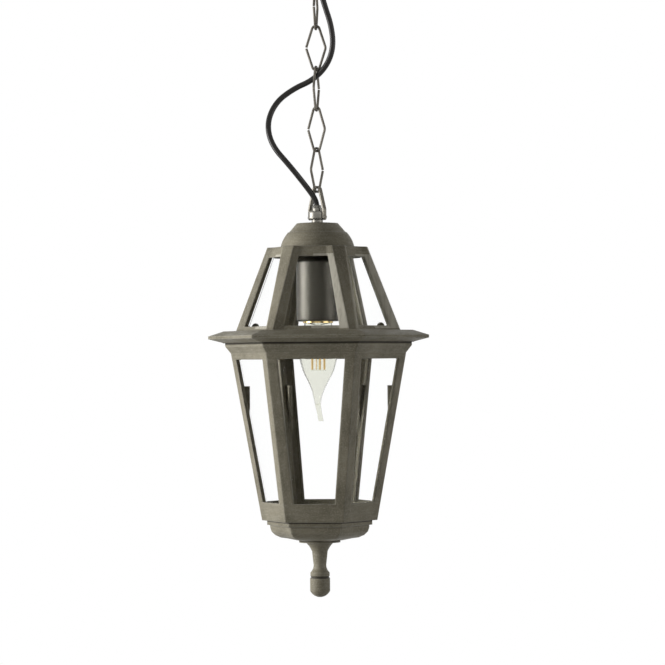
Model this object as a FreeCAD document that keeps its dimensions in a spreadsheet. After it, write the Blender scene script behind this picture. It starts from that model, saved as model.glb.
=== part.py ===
"""Hexagonal porch lantern on a chain: ceiling canopy, diamond-link chain, bail and collar, cast roof with
six panes, lamp holder and clear bent-tip bulb, cast cage with six panes, bowl and finial.

Millimetres. The origin is the middle of the canopy's rim, on the ceiling, and +Z points up, so the lantern
hangs down the Z axis. Two corners of the hexagon lie on X, and one flat face looks along -Y."""

import FreeCAD, Part
import math
import os
from types import SimpleNamespace

import Sketcher

Vector = FreeCAD.Vector
doc = FreeCAD.newDocument("PorchLantern")

# Driving dimensions: alias, millimetres or degrees, what it measures
SIZES = (
    ("canopy_radius", 55.0, "ceiling canopy, outer radius"),
    ("canopy_rim", 12.0, "ceiling canopy, height of the low rim"),
    ("canopy_wall", 2.5, "ceiling canopy, wall"),
    ("canopy_round", 3.0, "ceiling canopy, rounding of its edges"),
    ("cup_radius", 27.0, "ceiling canopy, radius of the deep middle"),
    ("cup_depth", 30.0, "ceiling canopy, depth of the deep middle below the ceiling"),
    ("screw_offset", 40.0, "ceiling screw holes, distance from the middle"),
    ("screw_hole", 5.0, "ceiling screw holes, diameter"),
    ("screw_boss", 11.0, "ceiling screw bosses, diameter"),
    ("gland_right", 4.0, "cord gland, distance right of the middle"),
    ("gland_front", 15.0, "cord gland, distance in front of the middle"),
    ("gland_thread", 8.8, "cord gland, diameter of its thread"),
    ("gland_flange", 13.0, "cord gland, diameter of its flange"),
    ("gland_nose", 5.0, "cord gland, length of nose and flange below the canopy"),
    ("gland_stem", 6.5, "cord gland, length above the canopy's underside"),
    ("terminal_length", 22.0, "terminal block, length"),
    ("terminal_width", 10.0, "terminal block, width"),
    ("terminal_height", 11.0, "terminal block, height"),
    ("terminal_back", 9.0, "terminal block, distance of its front behind the middle"),
    ("terminal_way", 3.2, "terminal block, diameter of each wire hole"),
    ("hook_wire", 3.0, "hook eye, wire diameter"),
    ("hook_ring", 7.0, "hook eye, radius to the wire's middle"),
    ("hook_flange", 10.0, "hook eye, diameter of its flange"),
    ("hook_drop", 1.0, "hook eye, thickness of its flange"),
    ("hook_stem", 6.0, "hook eye, stem diameter"),
    ("hook_washer", 1.2, "hook washer, thickness"),
    ("hook_washer_width", 14.0, "hook washer, diameter"),
    ("hook_nut", 5.0, "hook nut, height"),
    ("hook_nut_flats", 10.0, "hook nut, width across flats"),
    ("hook_end", 2.0, "hook eye, stem standing out of its nut"),
    ("fit_gap", 0.1, "gap all round where a stem or tube goes into a hole"),
    ("link_wire", 2.2, "chain link, wire diameter"),
    ("link_reach", 19.15, "chain link, middle to the wire's middle at a crown"),
    ("link_leg_angle", 17.8, "chain link, lean of its four legs"),
    ("link_bend", 2.9, "chain link, bend radius of a crown at the wire's middle"),
    ("link_flat", 0.8, "chain link, straight length at a crown"),
    ("link_corner", 6.0, "chain link, bend radius of the closed side corner"),
    ("link_split", 1.0, "chain link, opening at the other side corner"),
    ("link_play", 0.3, "gap between two pieces that hang in each other"),
    ("link_turn_1", 85.0, "first chain link, turn about the chain"),
    ("link_turn_2", 3.0, "second chain link, turn about the chain"),
    ("link_turn_3", 260.0, "third chain link, turn about the chain"),
    ("link_turn_4", -26.0, "fourth chain link, turn about the chain"),
    ("link_turn_5", 238.0, "fifth chain link, turn about the chain"),
    ("bail_turn", -42.0, "bail, turn about the chain"),
    ("bail_width", 3.7, "bail, width of the strip"),
    ("bail_strip", 1.5, "bail, thickness of the strip"),
    ("bail_play", 0.7, "bail, gap to the last link's legs at its edges"),
    ("bail_gap", 0.35, "bail, gap to the collar on each side"),
    ("bail_leg", 22.8555, "bail, middle of the arch to the pins"),
    ("bail_bend", 3.4, "bail, bend radius inside the arch"),
    ("bail_lean", 17.0, "bail, lean of each leg from the arch down to the collar"),
    ("bail_foot_bend", 4.0, "bail, bend radius inside each leg above the collar"),
    ("bail_tail", 2.3, "bail, length below the pins"),
    ("pin_width", 1.8, "bail pins, diameter"),
    ("pin_gap", 0.2, "bail pins, gap in the bail's holes and under the heads"),
    ("pin_head", 3.4, "bail pins, head diameter"),
    ("pin_head_height", 0.6, "bail pins, head height"),
    ("pin_depth", 2.5, "bail pins, depth in the collar"),
    ("collar_radius", 8.1, "collar, radius"),
    ("collar_height", 7.2, "collar, height"),
    ("collar_edge", 0.6, "collar, chamfer of its edges"),
    ("collar_lip", 1.5, "collar, thickness of the lip over the nipple"),
    ("collar_pins", 5.0, "collar, top to the pins"),
    ("collar_gap", 2.2, "collar, height of its underside above the dome"),
    ("ferrule_radius", 4.35, "cord ferrule, radius"),
    ("ferrule_height", 3.5, "cord ferrule, height above the collar"),
    ("ferrule_nose", 2.2, "cord ferrule, height of the cone round the cord"),
    ("ferrule_nose_radius", 3.4, "cord ferrule, radius at the cone's end"),
    ("ferrule_play", 0.5, "cord ferrule, gap round the cord"),
    ("ferrule_spigot", 3.6, "cord ferrule, radius of the spigot in the collar"),
    ("cord_width", 5.0, "supply cord, diameter"),
    ("nipple_radius", 5.0, "threaded nipple, radius"),
    ("nipple_bore", 3.4, "threaded nipple, radius of its bore"),
    ("nipple_depth", 6.0, "threaded nipple, depth in the lamp holder's cap"),
    ("dome_washer", 1.2, "dome washer, thickness"),
    ("dome_washer_width", 18.0, "dome washer, diameter"),
    ("lock_nut", 5.0, "lock nut, height"),
    ("lock_nut_flats", 14.0, "lock nut, width across flats"),
    ("casting_wall", 3.0, "castings, level thickness of the walls"),
    ("dome_crown", 0.9, "dome, rise of the top"),
    ("dome_top", 18.2, "dome, radius of the top"),
    ("dome_shoulder", 25.9, "dome, radius where the cone steepens"),
    ("dome_shoulder_drop", 8.9, "dome, depth of that edge below the top"),
    ("dome_base", 32.6, "dome, radius at the foot"),
    ("dome_ledge", 0.8, "dome, width of the ledge at the shoulder"),
    ("dome_bend", 28.0, "dome, bend radius of the lower part"),
    ("dome_height", 22.0, "dome, height"),
    ("band_top", 43.8, "hexagon band, corner radius at the top"),
    ("band_foot", 46.2, "hexagon band, corner radius at the bottom"),
    ("band_height", 6.8, "hexagon band, height"),
    ("rib_foot", 70.5, "roof slope, corner radius at the eave"),
    ("roof_height", 66.4, "roof slope, height from band to eave"),
    ("rib_width", 10.6, "roof ribs, width on each face from the corner"),
    ("rib_lap", 0.4, "roof ribs, reach of the bevels past the windows' edges"),
    ("rib_flat_top", 12.0, "roof ribs, width of the crest at the band"),
    ("rib_flat_foot", 7.0, "roof ribs, width of the crest inside the eave"),
    ("rib_crest", 74.1, "roof ribs, distance of the crest from the axis inside the eave"),
    ("roof_head", 2.2, "roof windows, depth of the top edge below the band"),
    ("roof_sill", 3.7, "roof windows, height of the bottom edge above the eave"),
    ("eave_flat", 83.7, "eave, corner radius of the level top"),
    ("eave_tip", 97.7, "eave, corner radius of the edge"),
    ("eave_bevel", 4.4, "eave, fall of the bevel"),
    ("eave_edge", 2.5, "eave, height of the edge face"),
    ("eave_under", 84.5, "eave, corner radius where the drip lip starts"),
    ("eave_fall", 3.4, "eave, fall of the underside"),
    ("drip_lip", 0.3, "eave, height of the drip lip"),
    ("lug_reach", 49.5, "fixing lugs, radius of the inner end"),
    ("lug_width", 10.0, "fixing lugs, width"),
    ("lug_depth", 4.5, "fixing lugs, thickness of the cage's lug"),
    ("stud_place", 55.0, "roof studs, distance from the middle"),
    ("stud_width", 4.0, "roof studs, diameter"),
    ("stud_top", 5.0, "roof studs, length above the eave"),
    ("cap_nut_flats", 7.0, "dome nuts, width across flats"),
    ("cap_nut_height", 3.4, "dome nuts, height of the hexagon"),
    ("cap_nut_dome", 3.3, "dome nuts, radius of the dome"),
    ("glass", 2.4, "panes, level thickness"),
    ("pane_lap", 2.0, "panes, lap behind the frame"),
    ("cornice", 82.6, "cage, corner radius of the cornice"),
    ("cornice_face", 2.8, "cage, height of the cornice's face"),
    ("cornice_foot", 78.3, "cage, corner radius under the cornice's bevel"),
    ("cornice_bevel", 5.4, "cage, height of the cornice's bevel"),
    ("wall_top", 77.5, "cage wall, corner radius at the top"),
    ("wall_drop", 9.1, "cage wall, depth of its top below the eave"),
    ("wall_foot", 51.0, "cage wall, corner radius at the bottom"),
    ("cage_height", 156.2, "cage, height"),
    ("post_width", 9.2, "cage posts, width on each face from the corner"),
    ("cage_head", 14.4, "cage windows, depth of the top edge below the eave"),
    ("cage_sill", 16.3, "cage windows, height of the bottom edge above the cage's foot"),
    ("web_reach", 60.6, "cage webs, radius of the inner edge"),
    ("web_drop", 37.9, "cage webs, depth of the top below the eave"),
    ("web_width", 3.0, "cage webs, thickness"),
    ("floor_depth", 8.4, "cage floor, height of its top above the cage's foot"),
    ("floor_plate", 3.5, "cage floor, thickness"),
    ("step_radius", 46.5, "bowl, corner radius of the step ring"),
    ("step_gap", 1.0359, "bowl, gap from the step ring's corners to those of the cage's recess"),
    ("step_drop", 4.1, "bowl, height of the step ring below the cage"),
    ("bowl_radius", 43.9, "bowl, corner radius of the rim"),
    ("bowl_rim", 2.0, "bowl, height of the upright rim"),
    ("bowl_round", 10.0, "bowl, height of the round"),
    ("bowl_turn", 28.5, "bowl, corner radius where the round ends"),
    ("bowl_foot", 20.2, "bowl, corner radius of the bottom face"),
    ("bowl_fall", 1.7, "bowl, fall of the bottom from the round to that face"),
    ("hub_radius", 8.0, "bowl, radius of the hub inside"),
    ("finial_ring", 18.2, "finial, radius of the top ring"),
    ("finial_ring_height", 1.7, "finial, height of the top ring"),
    ("finial_step", 12.6, "finial, radius under the top ring"),
    ("finial_cove", 6.9, "finial, radius at the foot of the cove"),
    ("finial_cove_height", 8.0, "finial, height from the top ring to the foot of the cove"),
    ("finial_cove_bend", 20.0, "finial, bend radius of the cove"),
    ("finial_neck", 5.6, "finial, radius of the neck"),
    ("finial_neck_height", 12.0, "finial, height of the neck"),
    ("finial_collar", 8.5, "finial, radius of the collar"),
    ("finial_flare", 6.6, "finial, height of the flare between neck and collar"),
    ("finial_flare_bend", 9.0, "finial, bend radius of the flare"),
    ("finial_collar_height", 3.0, "finial, height of the collar"),
    ("finial_groove", 1.0, "finial, height of each side of the groove"),
    ("finial_groove_depth", 1.0, "finial, depth of the groove"),
    ("finial_knob", 8.8, "finial, radius of the knob"),
    ("finial_knob_height", 11.1, "finial, height of the knob's side"),
    ("finial_end", 5.6, "finial, height of the knob's rounded end"),
    ("finial_end_bend", 9.75, "finial, bend radius of the rounded end"),
    ("finial_stud", 6.0, "finial stud, diameter"),
    ("finial_nut", 4.2, "finial nut, height"),
    ("finial_nut_flats", 10.0, "finial nut, width across flats"),
    ("stud_end", 1.0, "finial stud, length standing out of its nut"),
    ("holder_drop", 29.2, "lamp holder, depth of its top below the dome's top"),
    ("holder_radius", 18.8, "lamp holder, radius"),
    ("holder_wall", 2.3, "lamp holder, wall"),
    ("holder_edge", 1.5, "lamp holder, rounding of the lower edge"),
    ("holder_cap", 13.9, "lamp holder cap, height"),
    ("holder_cap_side", 8.0, "lamp holder cap, height of the upright side"),
    ("holder_cap_top", 8.5, "lamp holder cap, radius of the top face"),
    ("holder_cap_bend", 12.0, "lamp holder cap, bend radius of the shoulder"),
    ("holder_cap_hollow", 7.0, "lamp holder cap, depth of the hollow"),
    ("holder_shell", 44.0, "lamp holder shell, height"),
    ("insert_bore", 13.7, "lamp holder insert, radius of the bore"),
    ("insert_plate", 11.0, "lamp holder insert, thickness of the top plate"),
    ("insert_lift", 2.0, "lamp holder insert, height above the shell's lower edge"),
    ("contact_radius", 4.0, "lamp holder contact, radius"),
    ("contact_height", 1.0, "lamp holder contact, thickness"),
    ("contact_rivet", 1.5, "lamp holder contact, radius of its rivet"),
    ("bulb_cap", 13.2, "bulb cap, radius"),
    ("bulb_cap_wall", 0.6, "bulb cap, wall"),
    ("bulb_cap_height", 28.5, "bulb cap, height of the upright side"),
    ("bulb_cap_cone", 3.0, "bulb cap, height of the cone"),
    ("bulb_cap_seat", 6.0, "bulb cap, radius of the insulator's hole"),
    ("bulb_button", 2.0, "bulb contact, height above the cone"),
    ("bulb_wall", 0.9, "bulb glass, wall"),
    ("bulb_neck", 12.35, "bulb glass, radius in the cap"),
    ("bulb_width", 17.6, "bulb glass, largest radius"),
    ("bulb_widest", 23.5, "bulb glass, depth of the widest place below the cap"),
    ("bulb_length", 86.4, "bulb glass, depth of the tip below the cap"),
    ("bulb_tail", 2.2, "bulb glass, radius of the drawn-out tip"),
    ("bulb_tip", 14.0, "bulb glass, length of the solid tip"),
    ("bulb_sway", 2.0, "bulb glass, sideways bend of the tip"),
    ("stem_plate", 6.6, "bulb stem, radius of the two filament plates"),
    ("stem_rod", 1.5, "bulb stem, radius of the rod"),
    ("stem_drop", 8.0, "bulb stem, depth of the upper plate below the cap"),
    ("filament_length", 33.0, "filaments, length"),
    ("filament_radius", 0.9, "filaments, radius"),
    ("filament_ring", 5.5, "filaments, distance from the middle"),
    ("filament_turn", 20.0, "filaments, turn of the first about the middle"),
)

sheet = doc.addObject("Spreadsheet::Sheet", "Sizes")
for row, (alias, amount, meaning) in enumerate(SIZES, start=1):
    sheet.set(f"A{row}", meaning)
    sheet.set(f"B{row}", str(amount))
    sheet.setAlias(f"B{row}", alias)
doc.recompute()


class Dim:
    """A number together with the spreadsheet expression that gives it."""

    def __init__(self, value, text):
        self.value = float(value)
        self.text = text

    def __add__(self, other):
        other = as_dim(other)
        return Dim(self.value + other.value, f"({self.text} + {other.text})")

    def __sub__(self, other):
        other = as_dim(other)
        return Dim(self.value - other.value, f"({self.text} - {other.text})")

    def __mul__(self, other):
        other = as_dim(other)
        return Dim(self.value * other.value, f"({self.text} * {other.text})")

    def __truediv__(self, other):
        other = as_dim(other)
        return Dim(self.value / other.value, f"({self.text} / {other.text})")

    def __neg__(self):
        return Dim(-self.value, f"(0 - {self.text})")

    def __radd__(self, other):
        return as_dim(other) + self

    def __rsub__(self, other):
        return as_dim(other) - self

    def __rmul__(self, other):
        return as_dim(other) * self


def as_dim(amount):
    return amount if isinstance(amount, Dim) else Dim(amount, f"{amount:.9f}")


def sine(angle):
    return Dim(math.sin(math.radians(angle.value)), f"sin({angle.text})")


def cosine(angle):
    return Dim(math.cos(math.radians(angle.value)), f"cos({angle.text})")


size = SimpleNamespace(**{alias: Dim(sheet.get(alias), f"Sizes.{alias}") for alias, _, _ in SIZES})
CORNER_ANGLE = 60
FACE_ANGLE = 30
APOTHEM = math.cos(math.radians(FACE_ANGLE))
subparts = {}


def bind(obj, **amounts):
    """Tie properties of an object to the spreadsheet."""
    for name, amount in amounts.items():
        obj.setExpression(name, as_dim(amount).text)


def place(obj, x=0, y=0, z=0, yaw=0, pitch=0, roll=0):
    """Tie an object's Placement to the spreadsheet."""
    x, y, z, yaw, pitch, roll = (as_dim(amount).text for amount in (x, y, z, yaw, pitch, roll))
    turn = f"rotation({yaw}; {pitch}; {roll})"
    obj.setExpression("Placement", f"placement(vector({x}; {y}; {z}); {turn})")


def keep(label, obj):
    """Name a finished sub-part, which goes to a file of that name."""
    obj.Label = label
    subparts[label] = obj
    return obj


def fused(name, pieces):
    obj = doc.addObject("Part::MultiFuse", name)
    obj.Shapes = pieces
    obj.Refine = True
    return obj


def cut(name, base, tools):
    tool = tools[0]
    if len(tools) > 1:
        tool = doc.addObject("Part::MultiFuse", f"{name}_tools")
        tool.Shapes = tools
    obj = doc.addObject("Part::Cut", name)
    obj.Base = base
    obj.Tool = tool
    obj.Refine = True
    return obj


def group(name, pieces):
    obj = doc.addObject("Part::Compound", name)
    obj.Links = pieces
    return obj


def rod(name, radius, bottom, top, x=0, y=0):
    """An upright cylinder between two heights."""
    obj = doc.addObject("Part::Cylinder", name)
    bind(obj, Radius=radius, Height=top - bottom)
    place(obj, x=x, y=y, z=bottom)
    return obj


def hex_nut(name, flats, bottom, top, bore):
    """A hexagon nut on the Z axis with a plain bore."""
    prism = doc.addObject("Part::Prism", f"{name}_prism")
    prism.Polygon = 6
    bind(prism, Circumradius=flats / (2 * APOTHEM), Height=top - bottom)
    place(prism, z=bottom)
    return cut(name, prism, [rod(f"{name}_bore", bore, bottom - 1, top + 1)])


def box(name, low, high):
    obj = doc.addObject("Part::Box", name)
    bind(obj, Length=high[0] - low[0], Width=high[1] - low[1], Height=high[2] - low[2])
    place(obj, *low)
    return obj


def ruled(name, rings):
    """A solid with straight lines from each closed outline to the next."""
    loft = doc.addObject("Part::Loft", name)
    loft.Sections = rings
    loft.Solid = True
    loft.Ruled = True
    loft.Linearize = True
    return loft


def hex_solid(name, sections):
    """A ruled solid through level hexagons, each given as corner radius and height."""
    rings = []
    for number, (radius, z) in enumerate(sections, start=1):
        ring = doc.addObject("Part::RegularPolygon", f"{name}_section_{number}")
        ring.Polygon = 6
        bind(ring, Circumradius=radius)
        place(ring, z=z)
        rings.append(ring)
    return ruled(name, rings)


def upright_block(name, azimuth, low, high):
    """A block that leans out from the Z axis towards azimuth.

    low and high give its two ends as height, half width, inner and outer distance from the axis."""
    block = doc.addObject("Part::Wedge", name)
    bind(block, Ymin=low[0], Xmin=-low[1], Xmax=low[1], Zmin=low[2], Zmax=low[3])
    bind(block, Ymax=high[0], X2min=-high[1], X2max=high[1], Z2min=high[2], Z2max=high[3])
    place(block, yaw=azimuth + 90, roll=90)
    return block


def sketch_in(body, role, name):
    """A sketch on one of a body's own origin planes."""
    sketch = body.newObject("Sketcher::SketchObject", name)
    plane = next(feature for feature in body.Origin.OriginFeatures if feature.Role == role)
    sketch.AttachmentSupport = [(plane, "")]
    sketch.MapMode = "FlatFace"
    return sketch


def draw(sketch, points, closed=True):
    """Join points by lines, with every coordinate tied to the spreadsheet.

    A point with a third entry is reached by an arc of that radius, and its fourth entry says which way the
    arc turns: 1 to the left, -1 to the right."""
    spots = [(as_dim(point[0]), as_dim(point[1])) for point in points]
    pairs = list(zip(range(len(points) - 1), range(1, len(points))))
    if closed:
        pairs.append((len(points) - 1, 0))
    ends, radii = [], []
    for start, end in pairs:
        first, last = (Vector(spots[n][0].value, spots[n][1].value, 0) for n in (start, end))
        if len(points[end]) == 2:
            geometry = sketch.addGeometry(Part.LineSegment(first, last), False)
            ends.append((geometry, 1, 2))
            continue
        radius, turn = as_dim(points[end][2]), points[end][3]
        half = (last - first) / 2
        left = Vector(-half.y, half.x, 0).normalize()
        rise = math.sqrt(max(radius.value**2 - half.Length**2, 0))
        centre = first + half + left * rise * turn
        begin, finish = (first, last) if turn > 0 else (last, first)
        angles = [math.atan2(spot.y - centre.y, spot.x - centre.x) for spot in (begin, finish)]
        circle = Part.Circle(centre, Vector(0, 0, 1), radius.value)
        geometry = sketch.addGeometry(Part.ArcOfCircle(circle, *angles), False)
        ends.append((geometry, 1, 2) if turn > 0 else (geometry, 2, 1))
        radii.append((geometry, radius))
    followers = ends[1:] + ends[:1] if closed else ends[1:]
    for (geometry, _, end), (next_geometry, start, _) in zip(ends, followers):
        sketch.addConstraint(Sketcher.Constraint("Coincident", geometry, end, next_geometry, start))
    corners = [(geometry, start) for geometry, start, _ in ends]
    if not closed:
        corners.append((ends[-1][0], ends[-1][2]))
    for (geometry, corner), spot in zip(corners, spots):
        for kind, amount in zip(("DistanceX", "DistanceY"), spot):
            number = sketch.addConstraint(Sketcher.Constraint(kind, -1, 1, geometry, corner, amount.value))
            sketch.setExpression(f"Constraints[{number}]", amount.text)
    for geometry, radius in radii:
        number = sketch.addConstraint(Sketcher.Constraint("Radius", geometry, radius.value))
        sketch.setExpression(f"Constraints[{number}]", radius.text)


def turned(name, points, z=0, x=0, y=0):
    """A body turned on its own Z axis from an outline of radius and height."""
    body = doc.addObject("PartDesign::Body", name)
    sketch = sketch_in(body, "XZ_Plane", f"{name}_outline")
    draw(sketch, points)
    turning = body.newObject("PartDesign::Revolution", f"{name}_turning")
    turning.Profile = sketch
    turning.ReferenceAxis = (sketch, ["V_Axis"])
    turning.Angle = 360
    body.Tip = turning
    place(body, x=x, y=y, z=z)
    return body


def between(low, high, share):
    """The value a share of the way from low to high."""
    return low + (high - low) * share


# Heights of the pieces, worked down the chain from the ceiling
ceiling = Dim(0, "0")
canopy_foot = ceiling - size.cup_depth
hook_middle = canopy_foot - size.hook_drop - size.hook_wire / 2 - size.hook_ring
first_crown = hook_middle - size.hook_ring + (size.hook_wire + size.link_wire) / 2 + size.link_play
link_pitch = 2 * size.link_reach - size.link_wire - size.link_play
LINKS = 5
link_middle = [first_crown - size.link_reach - link_pitch * number for number in range(LINKS)]
last_crown = link_middle[-1] - size.link_reach

# A link's crown: where its bend meets its legs, measured from the crown's middle
leg_sine, leg_cosine = sine(size.link_leg_angle), cosine(size.link_leg_angle)
leg_start = size.link_flat / 2 + size.link_bend * leg_cosine
leg_rise = size.link_bend - size.link_bend * leg_sine
link_half_width = leg_start + (size.link_reach - leg_rise) * leg_sine / leg_cosine

# The bail's flat strip rides between the last link's legs, above its crown
leg_inside = leg_start - size.link_wire / 2 * leg_cosine
seat_run = (size.bail_width / 2 + size.bail_play - leg_inside) / leg_sine
bail_seat = leg_rise + size.link_wire / 2 * leg_sine + seat_run * leg_cosine
bail_inside = size.collar_radius + size.bail_gap
bail_pins = last_crown + bail_seat - size.bail_bend - size.bail_leg

collar_top = bail_pins + size.collar_pins
collar_foot = collar_top - size.collar_height
dome_peak = collar_foot - size.collar_gap
band_peak = dome_peak - size.dome_height
band_low = band_peak - size.band_height
eave_peak = band_low - size.roof_height
edge_peak = eave_peak - size.eave_bevel
edge_low = edge_peak - size.eave_edge
lip_peak = edge_low - size.eave_fall
roof_low = lip_peak - size.drip_lip
wall_peak = roof_low - size.wall_drop
cage_low = roof_low - size.cage_height
floor_peak = cage_low + size.floor_depth
floor_low = floor_peak - size.floor_plate
step_low = cage_low - size.step_drop
round_peak = step_low - size.bowl_rim
round_low = round_peak - size.bowl_round
bowl_low = round_low - size.bowl_fall
holder_peak = dome_peak - size.holder_drop
holder_joint = holder_peak - size.holder_cap
holder_low = holder_joint - size.holder_shell
wall_corner = size.casting_wall / APOTHEM


def roof_corner(z):
    """Corner radius of the roof's outer slope at a height."""
    return between(size.band_foot, size.rib_foot, (band_low - z) / size.roof_height)


def cage_corner(z):
    """Corner radius of the cage's outer wall at a height."""
    return between(size.wall_top, size.wall_foot, (wall_peak - z) / (wall_peak - cage_low))


def ceiling_canopy():
    """Hat-shaped pressing: low rim, level shoulder with two screw bosses, deep middle."""
    shoulder = size.cup_depth - size.canopy_rim
    hole = size.hook_stem / 2 + size.fit_gap
    shell = turned(
        "canopy_shell",
        [
            (hole, 0),
            (size.cup_radius - size.canopy_round, 0),
            (size.cup_radius, size.canopy_round, size.canopy_round, 1),
            (size.cup_radius, shoulder),
            (size.canopy_radius - size.canopy_round, shoulder),
            (size.canopy_radius, shoulder + size.canopy_round, size.canopy_round, 1),
            (size.canopy_radius, size.cup_depth),
            (size.canopy_radius - size.canopy_wall, size.cup_depth),
            (size.canopy_radius - size.canopy_wall, shoulder + size.canopy_wall),
            (size.cup_radius - size.canopy_wall, shoulder + size.canopy_wall),
            (size.cup_radius - size.canopy_wall, size.canopy_wall),
            (hole, size.canopy_wall),
        ],
        z=canopy_foot,
    )
    shoulder_low = ceiling - size.canopy_rim
    bosses, holes = [], []
    for side, name in ((-1, "left"), (1, "right")):
        x = size.screw_offset * side
        bosses.append(rod(f"screw_boss_{name}", size.screw_boss / 2, shoulder_low, ceiling, x))
        holes.append(rod(f"screw_way_{name}", size.screw_hole / 2, shoulder_low - 1, ceiling + 1, x))
    gland_way = rod(
        "gland_way",
        size.gland_thread / 2 + size.fit_gap,
        canopy_foot - 1,
        canopy_foot + size.canopy_wall + 1,
        size.gland_right,
        -size.gland_front,
    )
    keep("ceiling_canopy", cut("canopy", fused("canopy_blank", [shell] + bosses), holes + [gland_way]))


def canopy_hook():
    """Eye bolt: round eye, flange under the canopy, stem with washer and nut inside."""
    floor = canopy_foot + size.canopy_wall
    nut_low = floor + size.hook_washer
    nut_peak = nut_low + size.hook_nut
    eye = doc.addObject("Part::Torus", "hook_eye")
    bind(eye, Radius1=size.hook_ring, Radius2=size.hook_wire / 2)
    place(eye, z=hook_middle, roll=90)
    flange = rod("hook_flange", size.hook_flange / 2, canopy_foot - size.hook_drop, canopy_foot)
    stem = rod("hook_stem", size.hook_stem / 2, hook_middle + size.hook_ring, nut_peak + size.hook_end)
    keep("canopy_hook", fused("hook", [eye, flange, stem]))
    hole = size.hook_stem / 2 + size.fit_gap
    ring = [(hole, 0), (size.hook_washer_width / 2, 0)]
    ring += [(radius, size.hook_washer) for radius, _ in reversed(ring)]
    keep("hook_washer", turned("washer_for_hook", ring, z=floor))
    keep("hook_nut", hex_nut("nut_for_hook", size.hook_nut_flats, nut_low, nut_peak, hole))


def cord_gland():
    """Gland in the canopy's floor that the supply cord comes out of."""
    bore = size.cord_width / 2 + size.fit_gap
    half_nose = size.gland_nose / 2
    outline = [
        (bore, 0),
        (bore + size.canopy_wall / 2, 0),
        (size.gland_flange / 2 - 1, half_nose),
        (size.gland_flange / 2, half_nose + 1),
        (size.gland_flange / 2, size.gland_nose),
        (size.gland_thread / 2, size.gland_nose),
        (size.gland_thread / 2, size.gland_nose + size.gland_stem),
        (bore, size.gland_nose + size.gland_stem),
    ]
    x, y, z = size.gland_right, -size.gland_front, canopy_foot - size.gland_nose
    keep("cord_gland", turned("gland", outline, z, x, y))


def terminal_block():
    """Two-way terminal block on the canopy's floor, behind the hook."""
    floor = canopy_foot + size.canopy_wall
    half = size.terminal_length / 2
    low = (-half, size.terminal_back, floor)
    high = (half, size.terminal_back + size.terminal_width, floor + size.terminal_height)
    block = box("terminal_body", low, high)
    ways = []
    for side, name in ((-1, "left"), (1, "right")):
        way = doc.addObject("Part::Cylinder", f"terminal_way_{name}")
        bind(way, Radius=size.terminal_way / 2, Height=size.terminal_width + 2)
        middle = floor + size.terminal_height / 2
        place(way, x=half * side / 2, y=size.terminal_back - 1, z=middle, roll=-90)
        ways.append(way)
    keep("terminal_block", cut("terminal", block, ways))


def chain_links():
    """Five diamond links bent from round wire, each with its butt joint at one side corner."""
    turns = (size.link_turn_1, size.link_turn_2, size.link_turn_3, size.link_turn_4, size.link_turn_5)
    flat = size.link_flat / 2
    leg_end = size.link_reach - leg_rise
    half_split = size.link_split / 2
    split_side = link_half_width - half_split * leg_sine / leg_cosine
    tangent = size.link_corner * leg_sine / leg_cosine
    corner = link_half_width - tangent * leg_sine
    corner_rise = tangent * leg_cosine
    path = [
        (-split_side, half_split),
        (-leg_start, leg_end),
        (-flat, size.link_reach, size.link_bend, -1),
        (flat, size.link_reach),
        (leg_start, leg_end, size.link_bend, -1),
        (corner, corner_rise),
        (corner, -corner_rise, size.link_corner, -1),
        (leg_start, -leg_end),
        (flat, -size.link_reach, size.link_bend, -1),
        (-flat, -size.link_reach),
        (-leg_start, -leg_end, size.link_bend, -1),
        (-split_side, -half_split),
    ]
    for number, (turn, middle) in enumerate(zip(turns, link_middle), start=1):
        body = doc.addObject("PartDesign::Body", f"link_{number}")
        spine = sketch_in(body, "XZ_Plane", f"link_{number}_bend")
        draw(spine, path, closed=False)
        section = body.newObject("Sketcher::SketchObject", f"link_{number}_wire")
        section.AttachmentSupport = [(spine, "Edge1")]
        section.MapMode = "NormalToEdge"
        circle = Part.Circle(Vector(0, 0, 0), Vector(0, 0, 1), size.link_wire.value / 2)
        section.addGeometry(circle, False)
        section.addConstraint(Sketcher.Constraint("Coincident", 0, 3, -1, 1))
        wire = section.addConstraint(Sketcher.Constraint("Diameter", 0, size.link_wire.value))
        section.setExpression(f"Constraints[{wire}]", size.link_wire.text)
        pipe = body.newObject("PartDesign::AdditivePipe", f"link_{number}_pipe")
        pipe.Profile = section
        pipe.Spine = (spine, [f"Edge{edge}" for edge in range(1, len(path))])
        body.Tip = pipe
        place(body, z=middle, yaw=turn)
        keep(f"chain_link_{number}", body)


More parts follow.
